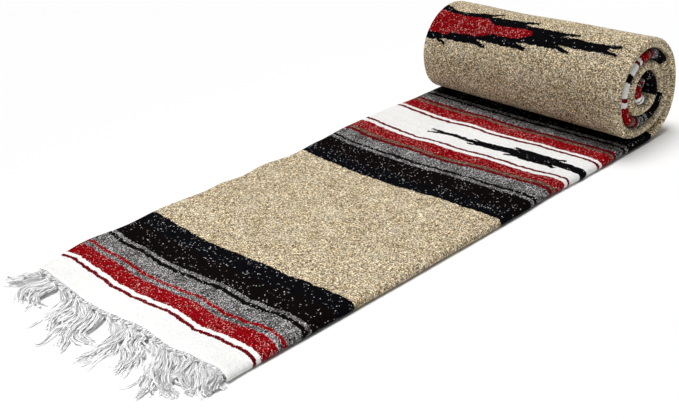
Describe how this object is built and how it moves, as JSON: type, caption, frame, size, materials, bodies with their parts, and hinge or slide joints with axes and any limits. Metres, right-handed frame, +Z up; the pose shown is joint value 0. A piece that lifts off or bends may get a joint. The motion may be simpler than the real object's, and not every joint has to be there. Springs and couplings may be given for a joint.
{
  "type": "mexican serape",
  "caption": "Striped serape blanket folded lengthwise in four, laid flat with knotted fringe at the near hem and rolled up from the far hem.",
  "frame": {"origin": "on the flat underside, at the middle of the folded width and halfway along the laid stretch", "axes": "+X across the folded cloth from its selvedges to its folded side, +Y along it from the fringed near hem to the roll, +Z up"},
  "size_m": [0.3282, 0.8218, 0.1338],
  "materials": {
    "striped_cloth": "coarse hand-loomed weft-faced weave, matt and flecked, in tan, black, red, grey and white stripes",
    "fringe_yarn": "loosely twisted white cotton yarn, matt, knotted in bunches"
  },
  "bodies": {
    "root": {"serape_laid": "striped_cloth", "serape_rolled": "striped_cloth", "fringe_near": "fringe_yarn", "fringe_far": "fringe_yarn"}
  },
  "joints": []
}
